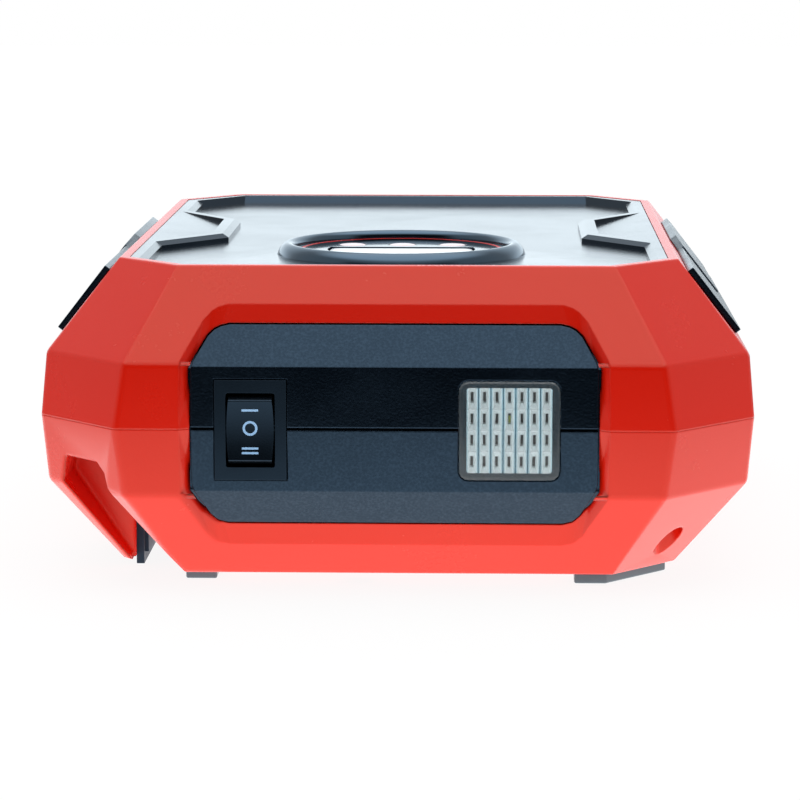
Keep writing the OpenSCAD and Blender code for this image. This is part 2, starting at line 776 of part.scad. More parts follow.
// ---- power parts ----
cell_size = [64, 126, 10.4];
cell_origin = [-20, -50, 8.5];
post_places = [for (x = [-25.2, 49.2], y = [-20, 50]) [x, y]];
board_top_z = 45.6;

module battery_cells() {
    color([0.75, 0.77, 0.8]) for (k = [0:2])
        translate([cell_origin[0], cell_origin[1], cell_origin[2] + k * (cell_size[2] + 0.3)])
            cube([cell_size[0], cell_size[1], cell_size[2]]);
}

module battery_tray() {
    color(black) difference() {
        translate([cell_origin[0] - 2.4, cell_origin[1] - 2.4, base_z + wall + 0.05])
            cube([cell_size[0] + 4.8, cell_size[1] + 4.8, 18]);
        translate([cell_origin[0] - 0.3, cell_origin[1] - 0.3, cell_origin[2] - 0.05])
            cube([cell_size[0] + 0.6, cell_size[1] + 0.6, 40]);
    }
    // Posts that carry the main board
    color(black) for (p = post_places) difference() {
        translate([p[0], p[1], base_z + wall + 0.05]) cylinder(h = board_top_z - 1.65 - base_z - wall, r = 3);
        translate([p[0], p[1], board_top_z - 10]) cylinder(h = 12, r = 1.15);
    }
}

module battery_strap() {
    top = cell_origin[2] + 3 * cell_size[2] + 0.6;
    w = cell_size[0] + 1.6;
    color(rubber) translate([cell_origin[0] - 0.8, 6, 0]) difference() {
        translate([-0.8, 0, 23]) cube([w + 1.6, 16, top - 23 + 1.3]);
        translate([0.3, -1, 20]) cube([w - 0.6, 18, top - 20 + 0.1]);
    }
}

module main_board() {
    color(board_green) difference() {
        translate([-29, -42, board_top_z - 1.6]) cube([82, 102, 1.6]);
        for (p = post_places)
            translate([p[0], p[1], board_top_z - 3]) cylinder(h = 5, r = 1.4);
    }
}

module board_screws() {
    color(steel) for (p = post_places) translate([p[0], p[1], board_top_z]) difference() {
        union() {
            translate([0, 0, 0.02]) cylinder(h = 1.5, r = 2.3);
            translate([0, 0, -9]) cylinder(h = 9.5, r = 1.1);
        }
        translate([-1.2, -0.25, 0.9]) cube([2.4, 0.5, 2]);
        translate([-0.25, -1.2, 0.9]) cube([0.5, 2.4, 2]);
    }
}

module heat_sink() {
    color([0.6, 0.62, 0.64]) translate([0, 10, board_top_z + 4.6]) {
        cube([36, 30, 2]);
        for (i = [0:8])
            translate([i * 4.3, 0, 1.9]) cube([1.4, 30, 7]);
    }
}

module power_switches() {
    color(black) for (i = [0:3])
        translate([1 + i * 9.2, 14, board_top_z + 0.02]) cube([6.6, 9, 4.5]);
}

module capacitors() {
    color([0.15, 0.2, 0.35]) for (i = [0:1])
        translate([8 + i * 16, -20, board_top_z + 0.02]) cylinder(h = 14, r = 5);
}

// Flat bar from a cell tab up to the board's rear edge
module bus_bar(x) {
    color(brass) {
        translate([x, cell_origin[1] + cell_size[1] + 2.5, 24]) cube([8, 1, board_top_z - 24 + 1]);
        translate([x, cell_origin[1] + cell_size[1] + 0.02, 26]) cube([8, 3, 1]);
        translate([x, 52, board_top_z + 0.02]) cube([8, cell_origin[1] + cell_size[1] - 49.5, 1]);
    }
}

module positive_bar() {
    bus_bar(-14);
}

module negative_bar() {
    bus_bar(30);
}

// Round lead along straight runs with ball corners
module lead(points, r) {
    for (i = [0:len(points) - 2]) {
        v = points[i + 1] - points[i];
        translate(points[i]) rotate([0, acos(v[2] / norm(v)), atan2(v[1], v[0])]) cylinder(h = norm(v), r = r);
    }
    for (i = [1:len(points) - 2])
        translate(points[i]) sphere(r * 1.06);
}

contact_end = [wall_top[0] + 0.6 * mouth_mid + 0.8 * (mouth_depth + contact_depth + 5.05),
               wall_top[1] - 0.8 * mouth_mid + 0.6 * (mouth_depth + contact_depth + 5.05)];

module socket_lead(y, along) {
    lead([[contact_end[0], y, contact_end[1]], [contact_end[0] + 4, y, contact_end[1] + 3],
          [contact_end[0] + 4, y, 52], [-16, y + along, 52], [-16, y + along, board_top_z + 0.02]], 1.7);
}

module positive_lead() {
    color("red") socket_lead(bay_mid_y - contact_pitch / 2, 20);
}

module negative_lead() {
    color("black") socket_lead(bay_mid_y + contact_pitch / 2, 20);
}

upper_casing();
lower_casing();
top_cover();
ring_bezel();
indicator_panel();
accent_ring();
indicator_lenses();
start_button();
button_board();
button_switch();
indicator_leds();
front_panel_upper();
front_panel_lower();
rear_panel_upper();
rear_panel_lower();
rocker_housing();
rocker();
switch_terminals();
lamp_cover();
lamp_reflector();
lamp_leds();
lamp_board();
lamp_holder();
side_grip_right();
side_grip_left();
foot_front_right();
foot_front_left();
foot_rear_right();
foot_rear_left();
case_screws();
socket_housing();
socket_contact_positive();
socket_contact_negative();
socket_cover();
socket_cover_pin();
port_frame();
port_cover();
port_cover_pin();
usb_sockets();
charge_socket();
port_board();
battery_cells();
battery_tray();
battery_strap();
main_board();
board_screws();
heat_sink();
power_switches();
capacitors();
positive_bar();
negative_bar();
positive_lead();
negative_lead();
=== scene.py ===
"""Jump starter pack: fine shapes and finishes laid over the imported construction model.

Lengths in the tables are millimetres in the pack's own frame: X to the right, Y to the back,
Z up from the surface that the feet stand on.
"""

import math

import bmesh
import bpy
import numpy as np
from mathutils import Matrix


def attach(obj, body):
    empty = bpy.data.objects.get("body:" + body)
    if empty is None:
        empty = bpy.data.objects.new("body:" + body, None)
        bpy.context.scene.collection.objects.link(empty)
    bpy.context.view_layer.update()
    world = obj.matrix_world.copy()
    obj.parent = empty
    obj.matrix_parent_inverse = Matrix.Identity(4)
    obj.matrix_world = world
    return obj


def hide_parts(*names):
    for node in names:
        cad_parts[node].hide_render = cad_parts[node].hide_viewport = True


MM = 0.001
FOLD_ANGLE = 17.0  # in degrees; the folds of the casing and the covers are steeper
SMOOTH_ANGLE = 35.0
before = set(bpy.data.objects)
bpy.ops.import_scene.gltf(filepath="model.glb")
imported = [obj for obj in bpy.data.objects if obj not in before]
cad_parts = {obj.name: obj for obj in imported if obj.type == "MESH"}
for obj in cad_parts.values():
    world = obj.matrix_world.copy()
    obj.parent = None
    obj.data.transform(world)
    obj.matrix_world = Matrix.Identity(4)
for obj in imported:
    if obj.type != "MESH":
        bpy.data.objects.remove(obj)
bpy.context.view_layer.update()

FRONT_Z = 35.7  # height of the switch's and the lamp's middle
RING_Y = -45.0  # middle of the round panel, which lies on the pack's centre plane

LIGHT_SPACING = 11.2
LIGHT_BEHIND = 9.0  # how far the row of lights lies behind the round panel's middle

BUTTON_R = 16.0
BUTTON_CUT = 3.5  # how far the half moon's straight side lies behind the round panel's middle

ROCKER_X = -29.9
PIVOT_Y = -93.4
ROCKER_HALF = 6.3  # half the height of the hollow face
ROCKER_END = 6.4  # height at which the hollow and the sides reach their full curve
ROCKER_TIP = 7.62  # radius of the rocker's round ends about the pivot
EDGE_R = 0.3  # rounding along the rocker's sides
SIGN_PROUD = 0.035

LAMP_X = 23.9
CELLS = (7, 4)
CELL = (17.9 / 7, 17.8 / 4)
REFLECTOR_Y = -95.55
REFLECTOR_DEEP = 2.85
# Point round which the lamp's phosphor strips get a painted spot of light.
PAINTED_LIGHT_POINT = (LAMP_X, -93.2, FRONT_Z + 1.7)


# ---------------------------------------------------------------- shader nodes
def add(tree, kind, inputs=None, **settings):
    """One shader node with its settings; each input is a value or the socket that feeds it."""
    made = tree.nodes.new(kind)
    for key, value in settings.items():
        setattr(made, key, value)
    for key, value in (inputs or {}).items():
        if isinstance(value, bpy.types.NodeSocket):
            tree.links.new(value, made.inputs[key])
        else:
            made.inputs[key].default_value = value
    return made


def effect(name, inputs, outputs):
    """An empty shader node group with named inputs and outputs, and its two end nodes."""
    kinds = {"f": "NodeSocketFloat", "c": "NodeSocketColor", "v": "NodeSocketVector"}
    tree = bpy.data.node_groups.new(name, "ShaderNodeTree")
    for side, sockets in (("INPUT", inputs), ("OUTPUT", outputs)):
        for label, kind in sockets.items():
            tree.interface.new_socket(name=label, in_out=side, socket_type=kinds[kind])
    return tree, tree.nodes.new("NodeGroupInput"), tree.nodes.new("NodeGroupOutput")


def noise(tree, scale, detail=2.0, rough=0.5):
    """Noise over the object's own coordinates; scale counts cells per metre."""
    place = add(tree, "ShaderNodeTexCoord")
    return add(tree, "ShaderNodeTexNoise", {"Vector": place.outputs["Object"], "Scale": scale,
                                            "Detail": detail, "Roughness": rough}).outputs["Fac"]


def ramp(tree, value, low, high, out_low=0.0, out_high=1.0):
    """Smooth step of a value from low..high to out_low..out_high."""
    return add(tree, "ShaderNodeMapRange", {"Value": value, "From Min": low, "From Max": high,
                                            "To Min": out_low, "To Max": out_high},
               interpolation_type="SMOOTHSTEP").outputs["Result"]


def sums(tree, operation, a, b):
    """One arithmetic step between two values or sockets."""
    return add(tree, "ShaderNodeMath", {0: a, 1: b}, operation=operation).outputs[0]


def mixed(tree, factor, a, b):
    """Colour mix of a towards b by a factor."""
    return add(tree, "ShaderNodeMix", {0: factor, 6: a, 7: b}, data_type="RGBA").outputs[2]


def grouped(tree, group, inputs):
    """The output of one of the shared effects, with its inputs given."""
    return add(tree, "ShaderNodeGroup", inputs, node_tree=group).outputs[0]


def moulded_grain():
    """Height of a spark-eroded mould face: fine noise over cells of the same size, in slow swells."""
    tree, start, end = effect("Moulded grain", {"Cells per metre": "f"}, {"Height": "f"})
    size = start.outputs["Cells per metre"]
    fine = noise(tree, size, 3.0, 0.6)
    place = add(tree, "ShaderNodeTexCoord")
    cells = add(tree, "ShaderNodeTexVoronoi", {"Vector": place.outputs["Object"], "Scale": size},
                feature="SMOOTH_F1").outputs["Distance"]
    both = sums(tree, "ADD", sums(tree, "MULTIPLY", fine, 0.7), sums(tree, "MULTIPLY", cells, 0.5))
    swell = noise(tree, sums(tree, "DIVIDE", size, 9.0), 1.0)
    tall = sums(tree, "MULTIPLY", both, ramp(tree, swell, 0.3, 0.7, 0.94, 1.0))
    tree.links.new(tall, end.inputs["Height"])
    return tree


def colour_drift():
    """Slow unevenness of pigment: brightness follows wide noise with a little of a finer one."""
    tree, start, end = effect("Colour drift", {"Colour": "c", "Amount": "f"}, {"Colour": "c"})
    wide = noise(tree, 30.0, 3.0)
    small = noise(tree, 420.0, 2.0)
    both = sums(tree, "ADD", sums(tree, "MULTIPLY", wide, 0.7), sums(tree, "MULTIPLY", small, 0.3))
    gain = sums(tree, "ADD", sums(tree, "MULTIPLY", sums(tree, "SUBTRACT", both, 0.5),
                                  sums(tree, "MULTIPLY", start.outputs["Amount"], 2.0)), 1.0)
    scaled = add(tree, "ShaderNodeVectorMath", {0: start.outputs["Colour"], "Scale": gain},
                 operation="SCALE")
    tree.links.new(scaled.outputs[0], end.inputs["Colour"])
    return tree


def worn_and_highlit_edges():
    """Edges lighter, as rubbed wear and as a painted edge highlight: where the rounded normal leaves the
    face normal, broken up by noise.
    """
    tree, start, end = effect("Worn and highlit edges", {"Colour": "c", "Worn colour": "c", "Amount": "f"},
                              {"Colour": "c"})
    soft = add(tree, "ShaderNodeBevel", {"Radius": 0.5 * MM}, samples=4).outputs["Normal"]
    plain = add(tree, "ShaderNodeNewGeometry").outputs["Normal"]
    close = add(tree, "ShaderNodeVectorMath", {0: soft, 1: plain},
                operation="DOT_PRODUCT").outputs["Value"]
    edge = ramp(tree, close, 0.995, 0.86)
    patchy = ramp(tree, noise(tree, 420.0, 3.0), 0.35, 0.65, 0.35, 1.0)
    mask = sums(tree, "MULTIPLY", sums(tree, "MULTIPLY", edge, patchy), start.outputs["Amount"])
    worn = mixed(tree, mask, start.outputs["Colour"], start.outputs["Worn colour"])
    tree.links.new(worn, end.inputs["Colour"])
    return tree


def handled_gloss():
    """Roughness with faint smudges from handling and a fine breakup."""
    tree, start, end = effect("Handled gloss", {"Roughness": "f", "Amount": "f"}, {"Roughness": "f"})
    smudge = ramp(tree, noise(tree, 45.0, 4.0, 0.6), 0.35, 0.7, -0.6, 0.6)
    fine = sums(tree, "SUBTRACT", noise(tree, 900.0, 2.0), 0.5)
    both = sums(tree, "MULTIPLY", sums(tree, "ADD", smudge, fine), start.outputs["Amount"])
    tree.links.new(sums(tree, "ADD", start.outputs["Roughness"], both), end.inputs["Roughness"])
    return tree


def settled_dust():
    """Thin dust on faces that look up, thicker where slow noise is high."""
    tree, start, end = effect("Settled dust", {"Colour": "c", "Amount": "f"}, {"Colour": "c"})
    facing = add(tree, "ShaderNodeSeparateXYZ", {0: add(tree, "ShaderNodeNewGeometry").outputs["Normal"]})
    up = ramp(tree, facing.outputs["Z"], 0.55, 1.0)
    specks = ramp(tree, noise(tree, 1500.0, 2.0), 0.5, 0.75)
    slow = ramp(tree, noise(tree, 60.0, 3.0), 0.4, 0.7, 0.3, 1.0)
    mask = sums(tree, "MULTIPLY", sums(tree, "MULTIPLY", up, specks),
                sums(tree, "MULTIPLY", slow, start.outputs["Amount"]))
    dusty = mixed(tree, mask, start.outputs["Colour"], (0.5, 0.5, 0.5, 1.0))
    tree.links.new(dusty, end.inputs["Colour"])
    return tree


def soft_edges():
    """Normal rounded over the edges of a moulding: a small radius, and a large one inside a box.

    The box is the corner where the lead socket lies; it fades out over 2 mm.
    """
    tree, start, end = effect("Soft edges", {"Radius": "f", "Corner radius": "f"}, {"Normal": "v"})
    place = add(tree, "ShaderNodeSeparateXYZ", {0: add(tree, "ShaderNodeTexCoord").outputs["Object"]})
    inside = sums(tree, "MULTIPLY", ramp(tree, place.outputs["X"], -0.038, -0.036, 1.0, 0.0),
                  ramp(tree, place.outputs["Y"], -0.040, -0.038, 1.0, 0.0))
    inside = sums(tree, "MULTIPLY", inside, ramp(tree, place.outputs["Z"], 0.0275, 0.0295, 1.0, 0.0))
    radius = add(tree, "ShaderNodeMix", {0: inside, 2: start.outputs["Radius"],
                                         3: start.outputs["Corner radius"]}).outputs[0]
    soft = add(tree, "ShaderNodeBevel", {"Radius": radius}, samples=8).outputs["Normal"]
    tree.links.new(soft, end.inputs["Normal"])
    return tree


GRAIN = moulded_grain()
DRIFT = colour_drift()
WEAR_AND_HIGHLIGHT = worn_and_highlit_edges()
GLOSS = handled_gloss()
DUST = settled_dust()
SOFT = soft_edges()


def rgb(colour):
    """A linear colour of three values with full opacity."""
    return (*colour, 1.0)


def lighter(colour, gain, lift):
    """The colour of rubbed edges, which also carries their painted highlight, where none is given."""
    return tuple(min(1.0, c * gain + lift) for c in colour)


def finish(name, colour, rough, cells, depth, drift=0.06, wear=0.3, dust=0.0, smudge=0.06,
           worn=None, metal=0.0, soft=(), dull=0.0, **shader):
    """A moulded or metal finish: drifting colour, worn edges with a painted edge highlight, and dust over
    a grained Principled surface.

    colour and worn are linear, the latter the colour of worn edges with their painted highlight;
    cells counts grain cells per metre and depth is the grain in mm; soft is the radius of the edges in mm,
    everywhere and in the socket corner; dull is the share of their reflection that the hollows of the
    grain lose, as if so much of them were black metal.
    """
    made = bpy.data.materials.new(name)
    made.use_nodes = True
    tree = made.node_tree
    shade = tree.nodes["Principled BSDF"]
    last = grouped(tree, DRIFT, {"Colour": rgb(colour), "Amount": drift})
    if wear:
        # Rubbed edges, lighter with wear and with a painted edge highlight.
        rubbed_and_highlit = rgb(worn or lighter(colour, 1.5, 0.03))
        last = grouped(tree, WEAR_AND_HIGHLIGHT, {"Colour": last, "Worn colour": rubbed_and_highlit, "Amount": wear})
    if dust:
        last = grouped(tree, DUST, {"Colour": last, "Amount": dust})
    tree.links.new(last, shade.inputs["Base Color"])
    gloss = grouped(tree, GLOSS, {"Roughness": rough, "Amount": smudge})
    tree.links.new(gloss, shade.inputs["Roughness"])
    if depth:
        grain = grouped(tree, GRAIN, {"Cells per metre": cells})
        bump = add(tree, "ShaderNodeBump", {"Height": grain, "Distance": depth * MM, "Strength": 1.0})
        if soft:
            facing = add(tree, "ShaderNodeNewGeometry").outputs["Normal"]
            facing = add(tree, "ShaderNodeSeparateXYZ", {0: facing})
            upward = ramp(tree, facing.outputs["Z"], 0.80, 0.97, 1.0, 0.1)
            tree.links.new(upward, bump.inputs["Strength"])
            edges = grouped(tree, SOFT, {"Radius": soft[0] * MM, "Corner radius": soft[1] * MM})
            tree.links.new(edges, bump.inputs["Normal"])
        tree.links.new(bump.outputs["Normal"], shade.inputs["Normal"])
    shade.inputs["Metallic"].default_value = metal
    for key, value in shader.items():
        shade.inputs[key.replace("_", " ")].default_value = value
    if dull:
        tree.links.new(ramp(tree, grain, 0.4, 0.8, dull, 0.0), shade.inputs["Metallic"])
    made.diffuse_color = rgb(colour)
    return made


def clear_plastic(name, tint, rough):
    """Clear acrylic with a faint tint and fine smudges."""
    made = bpy.data.materials.new(name)
    made.use_nodes = True
    tree = made.node_tree
    shade = tree.nodes["Principled BSDF"]
    gloss = grouped(tree, GLOSS, {"Roughness": rough, "Amount": 0.03})
    tree.links.new(gloss, shade.inputs["Roughness"])
    colours = grouped(tree, DRIFT, {"Colour": rgb(tint), "Amount": 0.02})
    tree.links.new(colours, shade.inputs["Base Color"])
    shade.inputs["Transmission Weight"].default_value = 1.0
    shade.inputs["IOR"].default_value = 1.46
    return made


def led_finish(name, colour, painted_light_colour):
    """Dark phosphor strips; round one point of the second row a painted spot of light shows the phosphor's
    colour.
    """
    made = finish(name, colour, 0.45, 4000, 0.01, 0.1, 0.0)
    tree = made.node_tree
    shade = tree.nodes["Principled BSDF"]
    base = shade.inputs["Base Color"].links[0].from_socket
    place = add(tree, "ShaderNodeTexCoord").outputs["Object"]
    # Painted spot of light: the strips take the phosphor's colour only round this one point.
    painted_light_spot = tuple(v * MM for v in PAINTED_LIGHT_POINT)
    away = add(tree, "ShaderNodeVectorMath", {0: place, 1: painted_light_spot}, operation="DISTANCE").outputs["Value"]
    near = ramp(tree, away, 0.0008, 0.0013, 1.0, 0.0)
    tree.links.new(mixed(tree, near, base, rgb(painted_light_colour)), shade.inputs["Base Color"])
    return made


def reflector_finish(name):
    """Moulded reflector: white beside each slot, turning between the columns to a metal ridge with a
    painted blue shade.
    """
    made = finish(name, (0.86, 0.94, 0.95), 0.24, 1500, 0.002, 0.03, 0.0)
    tree = made.node_tree
    shade = tree.nodes["Principled BSDF"]
    base = shade.inputs["Base Color"].links[0].from_socket
    place = add(tree, "ShaderNodeSeparateXYZ", {0: add(tree, "ShaderNodeTexCoord").outputs["Object"]})
    column = sums(tree, "SUBTRACT", place.outputs["X"], LAMP_X * MM)
    column = sums(tree, "DIVIDE", column, CELL[0] * MM)
    middle = sums(tree, "ROUND", column, 0.0)
    aside = sums(tree, "ABSOLUTE", sums(tree, "SUBTRACT", column, middle), 0.0)
    # Painted shade: the ridge between the columns gets a darker blue, and turns to metal.
    ridge_metal_and_painted_shade = ramp(tree, aside, 0.22, 0.48)
    tree.links.new(mixed(tree, ridge_metal_and_painted_shade, base, (0.36, 0.58, 0.66, 1.0)), shade.inputs["Base Color"])
    tree.links.new(sums(tree, "MULTIPLY", ridge_metal_and_painted_shade, 0.8), shade.inputs["Metallic"])
    return made


# Painted reflection colour: the reflections of the black plastics are tinted cool and those of the red
# ones warm, as if by the light they reflect.
COOL_PAINTED_REFLECTION = {"Specular_Tint": (0.38, 0.66, 1.0, 1.0), "Specular_IOR_Level": 0.6}
BLUED_PAINTED_REFLECTION = {"Specular_Tint": (0.45, 0.72, 1.0, 1.0), "Specular_IOR_Level": 0.9, "IOR": 1.75}
WARM_PAINTED_REFLECTION = {"Specular_Tint": (1.0, 0.78, 0.62, 1.0)}

# The moulded black of the panels and grips. Its grain is dull in the hollows on the front panels alone:
# seen at a flat angle, that share of metal would tint the back and the sides.
MOULDED = {"colour": (0.0010, 0.0020, 0.0040), "rough": 0.24, "cells": 2000, "depth": 0.03,
           "drift": 0.15, "wear": 0.08, "worn": (0.02, 0.03, 0.045), "soft": (0.4, 0.4)}

# Values after the colour: roughness, grain cells per metre, grain depth, drift, wear with its painted edge
# highlight, dust.
FINISHES = {
    "casing_red": finish("Casing red", (0.70, 0.010, 0.002), 0.27, 1900, 0.018, 0.03, 0.0,
                         smudge=0.008, soft=(0.5, 1.6), **WARM_PAINTED_REFLECTION),
    "panel_black": finish("Panel black", dull=0.276, **MOULDED, **{**COOL_PAINTED_REFLECTION, "Specular_IOR_Level": 0.696}),
    "side_black": finish("Side black", **MOULDED, **{**COOL_PAINTED_REFLECTION, "Specular_IOR_Level": 0.575}),
    "cover_black": finish("Cover black", (0.0025, 0.0045, 0.007), 0.17, 1800, 0.001, 0.15, 0.10, 0.01,
                          smudge=0.02, worn=(0.03, 0.045, 0.06), **COOL_PAINTED_REFLECTION),
    "trim_black": finish("Trim black", (0.0025, 0.004, 0.0065), 0.18, 3000, 0.002, 0.1, 0.10,
                         worn=(0.03, 0.04, 0.055), **BLUED_PAINTED_REFLECTION),
    "gloss_black": finish("Gloss black", (0.0015, 0.0025, 0.004), 0.07, 3000, 0.0, 0.1, 0.0,
                          smudge=0.02, **COOL_PAINTED_REFLECTION),
    "switch_black": finish("Switch black", (0.0022, 0.0036, 0.0055), 0.22, 2600, 0.004, 0.1, 0.12,
                           worn=(0.014, 0.02, 0.026), **{**COOL_PAINTED_REFLECTION, "Specular_IOR_Level": 0.46}),
    "accent_red": finish("Accent red", (0.62, 0.012, 0.006), 0.3, 2600, 0.006),
    "lens_white": finish("Lens white", (0.88, 0.70, 0.74), 0.16, 3000, 0.002, 0.03, 0.0),
    "button_white": finish("Button white", (0.84, 0.86, 0.88), 0.22, 2400, 0.003, 0.03, 0.0),
    "lamp_clear": clear_plastic("Lamp clear", (0.96, 0.98, 0.99), 0.04),
    "reflector_chrome": reflector_finish("Reflector chrome"),
    "led_dark": led_finish("Phosphor strips", (0.006, 0.014, 0.016), (0.42, 0.50, 0.10)),
    "board_green": finish("Board green", (0.012, 0.11, 0.05), 0.32, 1800, 0.01, 0.15, 0.2),
    "foot_rubber": finish("Foot rubber", (0.075, 0.10, 0.12), 0.42, 2400, 0.02, 0.15, 0.1),
    "rubber_black": finish("Rubber black", (0.010, 0.013, 0.017), 0.58, 2400, 0.025, 0.15, 0.2, 0.05,
                           worn=(0.05, 0.056, 0.062), **COOL_PAINTED_REFLECTION),
    "steel": finish("Zinc steel", (0.60, 0.61, 0.62), 0.32, 2600, 0.006, 0.1, 0.3, metal=1.0),
    "brass": finish("Brass", (0.72, 0.50, 0.20), 0.28, 2600, 0.005, 0.1, 0.3, metal=1.0),
    "cell_foil": finish("Cell foil", (0.62, 0.64, 0.67), 0.38, 500, 0.06, 0.08, 0.2, metal=0.8),
    "sink_aluminium": finish("Sink aluminium", (0.55, 0.57, 0.60), 0.4, 1200, 0.02, 0.1, 0.3, metal=1.0),
    "tray_black": finish("Tray black", (0.02, 0.022, 0.025), 0.5, 1600, 0.03, 0.1, 0.3),
    "socket_blue": finish("Socket blue", (0.02, 0.05, 0.25), 0.4, 1800, 0.02, 0.08, 0.3),
    "chip_black": finish("Chip black", (0.015, 0.015, 0.016), 0.45, 3000, 0.02, 0.1, 0.3),
    "capacitor_sleeve": finish("Capacitor sleeve", (0.02, 0.04, 0.12), 0.3, 900, 0.01, 0.1, 0.3),
    "lead_red": finish("Lead red", (0.5, 0.02, 0.015), 0.4, 1500, 0.02, 0.08, 0.2),
    "lead_black": finish("Lead black", (0.012, 0.012, 0.013), 0.42, 1500, 0.02, 0.08, 0.3),
    "mark_paint": finish("Mark paint", (0.30, 0.52, 0.80), 0.4, 3000, 0.004, 0.06, 0.0),
    "seal_grey": finish("Seal grey", (0.008, 0.022, 0.030), 0.5, 2600, 0.004, 0.08, 0.0,
                        **{**COOL_PAINTED_REFLECTION, "Specular_IOR_Level": 0.2}),
}


# ---------------------------------------------------------------- surfaces
def chaikin(points, times, closed=False):
    """Corner cutting: every edge keeps its quarter points, which rounds a profile evenly."""
    pts = np.asarray(points, float)
    for _ in range(times):
        ahead = np.roll(pts, -1, axis=0)
        cut = np.stack([0.75 * pts + 0.25 * ahead, 0.25 * pts + 0.75 * ahead], axis=1)
        cut = cut.reshape(-1, pts.shape[1])
        pts = cut if closed else np.vstack([pts[:1], cut[1:-2], pts[-1:]])
    return pts


def strip_faces(rings, around, start=0):
    """Quads between successive closed rings of the same number of points."""
    k, i = np.meshgrid(np.arange(rings - 1), np.arange(around), indexing="ij")
    here, above, ahead = k * around, (k + 1) * around, (i + 1) % around
    quads = np.stack([here + i, here + ahead, above + ahead, above + i], axis=-1)
    return (quads.reshape(-1, 4) + start).tolist()


def stack(rings, capped=True):
    """Skin over rings given as an array (ring, point, xyz), with or without end faces."""
    rings = np.asarray(rings, float)
    n, m = rings.shape[:2]
    faces = strip_faces(n, m)
    if capped:
        faces.append(list(range(m - 1, -1, -1)))
        faces.append(list(range((n - 1) * m, n * m)))
    return rings.reshape(-1, 3), faces


def joined(parts):
    """Several (points, faces) skins as one."""
    points, faces, base = [], [], 0
    for pts, fcs in parts:
        points.append(np.asarray(pts))
        faces += [[i + base for i in f] for f in fcs]
        base += len(pts)
    return np.vstack(points), faces


def turned(profile, centre, steps):
    """A closed (radius, height) profile carried once round the upright axis through centre."""
    prof = np.asarray(profile, float)
    a = np.linspace(0, 2 * math.pi, steps, endpoint=False)
    x = centre[0] + prof[:, None, 0] * np.cos(a)[None, :]
    y = centre[1] + prof[:, None, 0] * np.sin(a)[None, :]
    z = np.repeat(prof[:, 1:2], steps, axis=1)
    return np.stack([x, y, z], axis=-1)


def placed(name, data):
    """A new object in the scene that shows a mesh or a camera."""
    made = bpy.data.objects.new(name, data)
    bpy.context.scene.collection.objects.link(made)
    return made


def meshed(name, points, faces):
    """A mesh of points in millimetres, in metres."""
    mesh = bpy.data.meshes.new(name)
    mesh.from_pydata((np.asarray(points) * MM).tolist(), [], faces)
    return mesh


def piece(name, points, faces, material, slot, body, *nodes, angle=SMOOTH_ANGLE):
    """A mesh in millimetres made into a piece that rides on a body and stands for its CAD nodes."""
    mesh = meshed(name, points, faces)
    made = placed(name, mesh)
    work = bmesh.new()
    work.from_mesh(mesh)
    bmesh.ops.remove_doubles(work, verts=work.verts, dist=1e-7)
    bmesh.ops.recalc_face_normals(work, faces=work.faces)
    work.to_mesh(mesh)
    work.free()
    return dress(made, material, body, nodes, angle)


def dress(made, material, body, nodes, angle):
    """Material, smooth faces up to an angle, and the piece's body and CAD nodes."""
    made.data.materials.clear()
    made.data.materials.append(FINISHES[material])
    made.data.polygons.foreach_set("use_smooth", [True] * len(made.data.polygons))
    made.data.set_sharp_from_angle(angle=math.radians(angle))
    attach(made, body)
    if nodes:
        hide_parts(*nodes)
    return made


def rounded_copy(node, material, body, bevel):
    """A copy of a CAD node, its flat faces joined and its edges rounded by bevel mm.

    A bevel of 0 leaves the faces alone, for the casings, whose finish softens their edges.
    """
    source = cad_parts[node]
    mesh = source.data.copy()
    made = placed(node + "_finished", mesh)
    work = bmesh.new()
    work.from_mesh(mesh)
    bmesh.ops.remove_doubles(work, verts=work.verts, dist=2e-6)
    bmesh.ops.dissolve_limit(work, angle_limit=math.radians(0.4), verts=work.verts, edges=work.edges)
    work.to_mesh(mesh)
    work.free()
    dress(made, material, body, (node,), SMOOTH_ANGLE if bevel else FOLD_ANGLE)
    if bevel:
        round_edges = made.modifiers.new("Edge rounding", "BEVEL")
        round_edges.width = bevel * MM
        round_edges.segments = 2
        round_edges.limit_method = "ANGLE"
        round_edges.angle_limit = math.radians(FOLD_ANGLE)
        round_edges.use_clamp_overlap = True
        round_edges.miter_outer = "MITER_ARC"
    flat = made.modifiers.new("Flat faces", "WEIGHTED_NORMAL")
    flat.keep_sharp = not bevel
    flat.weight = 90
    return made


# ---------------------------------------------------------------- casing, cover and trim
# Finishes that the construction model keeps under another slot's name.
for node, material, bevel in [
        ("upper_casing", "casing_red", 0), ("lower_casing", "casing_red", 0),
        ("top_cover", "cover_black", 0.30), ("indicator_panel", "gloss_black", 0.12),
        ("front_panel_upper", "panel_black", 0.04), ("front_panel_lower", "panel_black", 0.04),
        ("rear_panel_upper", "side_black", 0.12), ("rear_panel_lower", "side_black", 0.12),
        ("rocker_housing", "switch_black", 0.35),
        ("side_grip_right", "side_black", 0.35), ("side_grip_left", "side_black", 0.35),
        ("foot_front_right", "foot_rubber", 0.4), ("foot_front_left", "foot_rubber", 0.4),
        ("foot_rear_right", "foot_rubber", 0.4), ("foot_rear_left", "foot_rubber", 0.4),
        ("case_screws", "steel", 0.15), ("port_frame", "trim_black", 0.25),
        ("socket_housing", "socket_blue", 0.3)]:
    rounded_copy(node, material, "pack", bevel)
rounded_copy("socket_cover", "rubber_black", "socket_cover", 0.3)
rounded_copy("port_cover", "rubber_black", "port_cover", 0.3)

